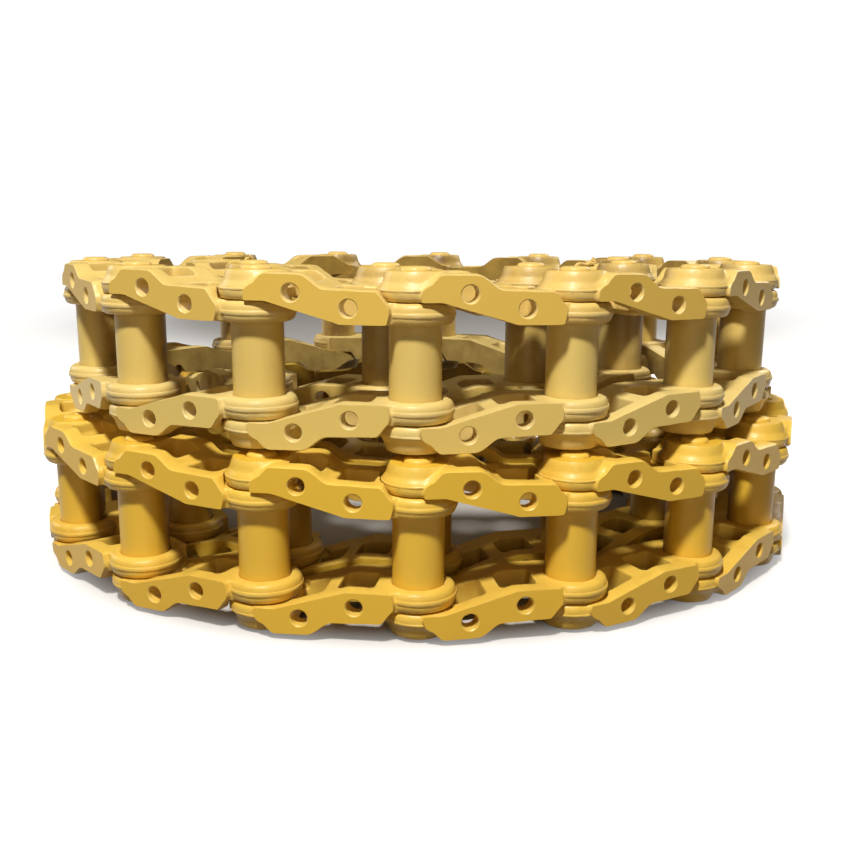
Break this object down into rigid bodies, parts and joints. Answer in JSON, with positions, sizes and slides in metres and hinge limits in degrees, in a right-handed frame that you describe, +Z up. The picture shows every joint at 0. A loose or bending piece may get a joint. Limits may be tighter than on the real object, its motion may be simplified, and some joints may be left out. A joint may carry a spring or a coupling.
{
  "type": "rolled track chain pair",
  "caption": "Pair of rolled excavator track chains stacked on edge: forged S-shaped links on bushings and pins, with bolt holes for the shoes.",
  "frame": {"origin": "middle of the base, on the floor", "axes": "+Z up along the pins, -Y out of the front shoe faces, +X to the right of them"},
  "size_m": [1.2038, 1.0064, 0.4383],
  "materials": {
    "lower_paint": "deep yellow paint, satin, over forged and machined steel",
    "upper_paint": "paler sand yellow paint, satin, over forged and machined steel",
    "seal_rubber": "black dust seal"
  },
  "bodies": {
    "lower_01": {"lower_section_01": "lower_paint"},
    "lower_02": {"lower_section_02": "lower_paint"},
    "lower_03": {"lower_section_03": "lower_paint"},
    "lower_04": {"lower_section_04": "lower_paint"},
    "lower_05": {"lower_section_05": "lower_paint"},
    "lower_06": {"lower_section_06": "lower_paint"},
    "lower_07": {"lower_section_07": "lower_paint"},
    "lower_08": {"lower_section_08": "lower_paint"},
    "lower_09": {"lower_section_09": "lower_paint"},
    "lower_10": {"lower_section_10": "lower_paint"},
    "lower_11": {"lower_section_11": "lower_paint"},
    "lower_12": {"lower_section_12": "lower_paint"},
    "lower_13": {"lower_section_13": "lower_paint"},
    "lower_14": {"lower_section_14": "lower_paint"},
    "lower_15": {"lower_section_15": "lower_paint"},
    "lower_16": {"lower_section_16": "lower_paint"},
    "lower_17": {"lower_section_17": "lower_paint"},
    "lower_18": {"lower_section_18": "lower_paint"},
    "lower_19": {"lower_front_top_link": "lower_paint", "lower_front_bottom_link": "lower_paint", "lower_front_bushing": "lower_paint", "lower_front_pin": "lower_paint", "lower_front_seals": "seal_rubber"},
    "lower_20": {"lower_section_20": "lower_paint"},
    "lower_21": {"lower_section_21": "lower_paint"},
    "lower_22": {"lower_section_22": "lower_paint"},
    "lower_23": {"lower_section_23": "lower_paint"},
    "lower_24": {"lower_end_top_link": "lower_paint", "lower_end_bottom_link": "lower_paint", "lower_end_bushing": "lower_paint", "lower_end_pin": "lower_paint", "lower_end_seals": "seal_rubber"},
    "upper_01": {"upper_section_01": "upper_paint"},
    "upper_02": {"upper_section_02": "upper_paint"},
    "upper_03": {"upper_section_03": "upper_paint"},
    "upper_04": {"upper_section_04": "upper_paint"},
    "upper_05": {"upper_section_05": "upper_paint"},
    "upper_06": {"upper_section_06": "upper_paint"},
    "upper_07": {"upper_section_07": "upper_paint"},
    "upper_08": {"upper_section_08": "upper_paint"},
    "upper_09": {"upper_section_09": "upper_paint"},
    "upper_10": {"upper_section_10": "upper_paint"},
    "upper_11": {"upper_section_11": "upper_paint"},
    "upper_12": {"upper_section_12": "upper_paint"},
    "upper_13": {"upper_section_13": "upper_paint"},
    "upper_14": {"upper_section_14": "upper_paint"},
    "upper_15": {"upper_front_top_link": "upper_paint", "upper_front_bottom_link": "upper_paint", "upper_front_bushing": "upper_paint", "upper_front_pin": "upper_paint", "upper_front_seals": "seal_rubber"},
    "upper_16": {"upper_section_16": "upper_paint"},
    "upper_17": {"upper_section_17": "upper_paint"},
    "upper_18": {"upper_section_18": "upper_paint"},
    "upper_19": {"upper_section_19": "upper_paint"},
    "upper_20": {"upper_end_top_link": "upper_paint", "upper_end_bottom_link": "upper_paint", "upper_end_bushing": "upper_paint", "upper_end_pin": "upper_paint", "upper_end_seals": "seal_rubber"}
  },
  "joints": [
    {"name": "upper_lift", "type": "slide", "parent": "lower_13", "child": "upper_11", "axis": [0, 0, 1], "range_m": [0, 0.5]},
    {"name": "lower_unroll", "type": "hinge", "parent": "lower_13", "child": "lower_14", "pos_m": [-0.49756, 0.2381, 0.1095], "axis": [0, 0, -1], "range_deg": [0, 26.46]},
    {"name": "lower_pin_15", "type": "hinge", "parent": "lower_14", "child": "lower_15", "pos_m": [-0.55483, 0.05694, 0.1095], "axis": [0, 0, -1], "range_deg": [0, 27.11]},
    {"name": "lower_pin_16", "type": "hinge", "parent": "lower_15", "child": "lower_16", "pos_m": [-0.52333, -0.13043, 0.1095], "axis": [0, 0, -1], "range_deg": [0, 24.31]},
    {"name": "lower_pin_17", "type": "hinge", "parent": "lower_16", "child": "lower_17", "pos_m": [-0.41755, -0.28826, 0.1095], "axis": [0, 0, -1], "range_deg": [0, 20.67]},
    {"name": "lower_pin_18", "type": "hinge", "parent": "lower_17", "child": "lower_18", "pos_m": [-0.2629, -0.39864, 0.1095], "axis": [0, 0, -1], "range_deg": [0, 18.22]},
    {"name": "lower_pin_19", "type": "hinge", "parent": "lower_18", "child": "lower_19", "pos_m": [-0.08152, -0.4552, 0.1095], "axis": [0, 0, -1], "range_deg": [0, 17.34]},
    {"name": "lower_pin_20", "type": "hinge", "parent": "lower_19", "child": "lower_20", "pos_m": [0.10848, -0.4552, 0.1095], "axis": [0, 0, -1], "range_deg": [0, 17.91]},
    {"name": "lower_pin_21", "type": "hinge", "parent": "lower_20", "child": "lower_21", "pos_m": [0.2893, -0.39683, 0.1095], "axis": [0, 0, -1], "range_deg": [0, 19.77]},
    {"name": "lower_pin_22", "type": "hinge", "parent": "lower_21", "child": "lower_22", "pos_m": [0.43975, -0.28079, 0.1095], "axis": [0, 0, -1], "range_deg": [0, 22.33]},
    {"name": "lower_pin_23", "type": "hinge", "parent": "lower_22", "child": "lower_23", "pos_m": [0.53488, -0.11633, 0.1095], "axis": [0, 0, -1], "range_deg": [0, 24.04]},
    {"name": "lower_pin_24", "type": "hinge", "parent": "lower_23", "child": "lower_24", "pos_m": [0.55483, 0.07262, 0.1095], "axis": [0, 0, -1], "range_deg": [0, 23.33]},
    {"name": "lower_pin_13", "type": "hinge", "parent": "lower_13", "child": "lower_12", "pos_m": [-0.36556, 0.37476, 0.1095], "axis": [0, 0, 1], "range_deg": [0, 23.32]},
    {"name": "lower_pin_12", "type": "hinge", "parent": "lower_12", "child": "lower_11", "pos_m": [-0.19027, 0.44806, 0.1095], "axis": [0, 0, 1], "range_deg": [0, 20.56]},
    {"name": "lower_pin_11", "type": "hinge", "parent": "lower_11", "child": "lower_10", "pos_m": [-0.0004, 0.4552, 0.1095], "axis": [0, 0, 1], "range_deg": [0, 19.59]},
    {"name": "lower_pin_10", "type": "hinge", "parent": "lower_10", "child": "lower_09", "pos_m": [0.18089, 0.39833, 0.1095], "axis": [0, 0, 1], "range_deg": [0, 20.81]},
    {"name": "lower_pin_09", "type": "hinge", "parent": "lower_09", "child": "lower_08", "pos_m": [0.3302, 0.28084, 0.1095], "axis": [0, 0, 1], "range_deg": [0, 24.41]},
    {"name": "lower_pin_08", "type": "hinge", "parent": "lower_08", "child": "lower_07", "pos_m": [0.41766, 0.11216, 0.1095], "axis": [0, 0, 1], "range_deg": [0, 29.39]},
    {"name": "lower_pin_07", "type": "hinge", "parent": "lower_07", "child": "lower_06", "pos_m": [0.41115, -0.07773, 0.1095], "axis": [0, 0, 1], "range_deg": [0, 31.46]},
    {"name": "lower_pin_06", "type": "hinge", "parent": "lower_06", "child": "lower_05", "pos_m": [0.30655, -0.23634, 0.1095], "axis": [0, 0, 1], "range_deg": [0, 28.27]},
    {"name": "lower_pin_05", "type": "hinge", "parent": "lower_05", "child": "lower_04", "pos_m": [0.13932, -0.32653, 0.1095], "axis": [0, 0, 1], "range_deg": [0, 24.13]},
    {"name": "lower_pin_04", "type": "hinge", "parent": "lower_04", "child": "lower_03", "pos_m": [-0.05017, -0.34053, 0.1095], "axis": [0, 0, 1], "range_deg": [0, 22.54]},
    {"name": "lower_pin_03", "type": "hinge", "parent": "lower_03", "child": "lower_02", "pos_m": [-0.23056, -0.28089, 0.1095], "axis": [0, 0, 1], "range_deg": [0, 24.43]},
    {"name": "lower_pin_02", "type": "hinge", "parent": "lower_02", "child": "lower_01", "pos_m": [-0.37018, -0.15202, 0.1095], "axis": [0, 0, 1], "range_deg": [0, 30.2]},
    {"name": "upper_unroll", "type": "hinge", "parent": "upper_11", "child": "upper_12", "pos_m": [-0.49103, -0.08544, 0.3288], "axis": [0, 0, -1], "range_deg": [0, 37.4]},
    {"name": "upper_pin_13", "type": "hinge", "parent": "upper_12", "child": "upper_13", "pos_m": [-0.41279, -0.25858, 0.3288], "axis": [0, 0, -1], "range_deg": [0, 27.55]},
    {"name": "upper_pin_14", "type": "hinge", "parent": "upper_13", "child": "upper_14", "pos_m": [-0.26337, -0.37594, 0.3288], "axis": [0, 0, -1], "range_deg": [0, 20.31]},
    {"name": "upper_pin_15", "type": "hinge", "parent": "upper_14", "child": "upper_15", "pos_m": [-0.08252, -0.4342, 0.3288], "axis": [0, 0, -1], "range_deg": [0, 17.88]},
    {"name": "upper_pin_16", "type": "hinge", "parent": "upper_15", "child": "upper_16", "pos_m": [0.10748, -0.4342, 0.3288], "axis": [0, 0, -1], "range_deg": [0, 19.04]},
    {"name": "upper_pin_17", "type": "hinge", "parent": "upper_16", "child": "upper_17", "pos_m": [0.28711, -0.37229, 0.3288], "axis": [0, 0, -1], "range_deg": [0, 23.94]},
    {"name": "upper_pin_18", "type": "hinge", "parent": "upper_17", "child": "upper_18", "pos_m": [0.4262, -0.24285, 0.3288], "axis": [0, 0, -1], "range_deg": [0, 31.51]},
    {"name": "upper_pin_19", "type": "hinge", "parent": "upper_18", "child": "upper_19", "pos_m": [0.47719, -0.05982, 0.3288], "axis": [0, 0, -1], "range_deg": [0, 33.2]},
    {"name": "upper_pin_20", "type": "hinge", "parent": "upper_19", "child": "upper_20", "pos_m": [0.41968, 0.12127, 0.3288], "axis": [0, 0, -1], "range_deg": [0, 25.95]},
    {"name": "upper_pin_11", "type": "hinge", "parent": "upper_11", "child": "upper_10", "pos_m": [-0.44805, 0.09963, 0.3288], "axis": [0, 0, 1], "range_deg": [0, 36.44]},
    {"name": "upper_pin_10", "type": "hinge", "parent": "upper_10", "child": "upper_09", "pos_m": [-0.30358, 0.22303, 0.3288], "axis": [0, 0, 1], "range_deg": [0, 27.17]},
    {"name": "upper_pin_09", "type": "hinge", "parent": "upper_09", "child": "upper_08", "pos_m": [-0.11872, 0.26692, 0.3288], "axis": [0, 0, 1], "range_deg": [0, 22.27]},
    {"name": "upper_pin_08", "type": "hinge", "parent": "upper_08", "child": "upper_07", "pos_m": [0.069, 0.23754, 0.3288], "axis": [0, 0, 1], "range_deg": [0, 23.4]},
    {"name": "upper_pin_07", "type": "hinge", "parent": "upper_07", "child": "upper_06", "pos_m": [0.22963, 0.13606, 0.3288], "axis": [0, 0, 1], "range_deg": [0, 31.81]},
    {"name": "upper_pin_06", "type": "hinge", "parent": "upper_06", "child": "upper_05", "pos_m": [0.31272, -0.0348, 0.3288], "axis": [0, 0, 1], "range_deg": [0, 44.43]},
    {"name": "upper_pin_05", "type": "hinge", "parent": "upper_05", "child": "upper_04", "pos_m": [0.25252, -0.21501, 0.3288], "axis": [0, 0, 1], "range_deg": [0, 41.2]},
    {"name": "upper_pin_04", "type": "hinge", "parent": "upper_04", "child": "upper_03", "pos_m": [0.08857, -0.31102, 0.3288], "axis": [0, 0, 1], "range_deg": [0, 30.58]},
    {"name": "upper_pin_03", "type": "hinge", "parent": "upper_03", "child": "upper_02", "pos_m": [-0.10143, -0.31033, 0.3288], "axis": [0, 0, 1], "range_deg": [0, 29.57]},
    {"name": "upper_pin_02", "type": "hinge", "parent": "upper_02", "child": "upper_01", "pos_m": [-0.26638, -0.21603, 0.3288], "axis": [0, 0, 1], "range_deg": [0, 41.5]}
  ],
  "couplings": [
    {"joint": "lower_pin_15", "follows": "lower_unroll", "ratio": 1.0237},
    {"joint": "lower_pin_16", "follows": "lower_unroll", "ratio": 0.91795},
    {"joint": "lower_pin_17", "follows": "lower_unroll", "ratio": 0.78048},
    {"joint": "lower_pin_18", "follows": "lower_unroll", "ratio": 0.68785},
    {"joint": "lower_pin_19", "follows": "lower_unroll", "ratio": 0.65448},
    {"joint": "lower_pin_20", "follows": "lower_unroll", "ratio": 0.67617},
    {"joint": "lower_pin_21", "follows": "lower_unroll", "ratio": 0.74642},
    {"joint": "lower_pin_22", "follows": "lower_unroll", "ratio": 0.84319},
    {"joint": "lower_pin_23", "follows": "lower_unroll", "ratio": 0.90785},
    {"joint": "lower_pin_24", "follows": "lower_unroll", "ratio": 0.88099},
    {"joint": "lower_pin_13", "follows": "lower_unroll", "ratio": 0.88076},
    {"joint": "lower_pin_12", "follows": "lower_unroll", "ratio": 0.77613},
    {"joint": "lower_pin_11", "follows": "lower_unroll", "ratio": 0.7396},
    {"joint": "lower_pin_10", "follows": "lower_unroll", "ratio": 0.78555},
    {"joint": "lower_pin_09", "follows": "lower_unroll", "ratio": 0.92185},
    {"joint": "lower_pin_08", "follows": "lower_unroll", "ratio": 1.11},
    {"joint": "lower_pin_07", "follows": "lower_unroll", "ratio": 1.1883},
    {"joint": "lower_pin_06", "follows": "lower_unroll", "ratio": 1.0678},
    {"joint": "lower_pin_05", "follows": "lower_unroll", "ratio": 0.91136},
    {"joint": "lower_pin_04", "follows": "lower_unroll", "ratio": 0.85112},
    {"joint": "lower_pin_03", "follows": "lower_unroll", "ratio": 0.92269},
    {"joint": "lower_pin_02", "follows": "lower_unroll", "ratio": 1.1405},
    {"joint": "upper_pin_13", "follows": "upper_unroll", "ratio": 0.73626},
    {"joint": "upper_pin_14", "follows": "upper_unroll", "ratio": 0.5426},
    {"joint": "upper_pin_15", "follows": "upper_unroll", "ratio": 0.47747},
    {"joint": "upper_pin_16", "follows": "upper_unroll", "ratio": 0.50853},
    {"joint": "upper_pin_17", "follows": "upper_unroll", "ratio": 0.63975},
    {"joint": "upper_pin_18", "follows": "upper_unroll", "ratio": 0.84217},
    {"joint": "upper_pin_19", "follows": "upper_unroll", "ratio": 0.88735},
    {"joint": "upper_pin_20", "follows": "upper_unroll", "ratio": 0.69337},
    {"joint": "upper_pin_11", "follows": "upper_unroll", "ratio": 0.97391},
    {"joint": "upper_pin_10", "follows": "upper_unroll", "ratio": 0.72595},
    {"joint": "upper_pin_09", "follows": "upper_unroll", "ratio": 0.59504},
    {"joint": "upper_pin_08", "follows": "upper_unroll", "ratio": 0.62531},
    {"joint": "upper_pin_07", "follows": "upper_unroll", "ratio": 0.84998},
    {"joint": "upper_pin_06", "follows": "upper_unroll", "ratio": 1.1874},
    {"joint": "upper_pin_05", "follows": "upper_unroll", "ratio": 1.1011},
    {"joint": "upper_pin_04", "follows": "upper_unroll", "ratio": 0.8172},
    {"joint": "upper_pin_03", "follows": "upper_unroll", "ratio": 0.79009},
    {"joint": "upper_pin_02", "follows": "upper_unroll", "ratio": 1.1093}
  ]
}
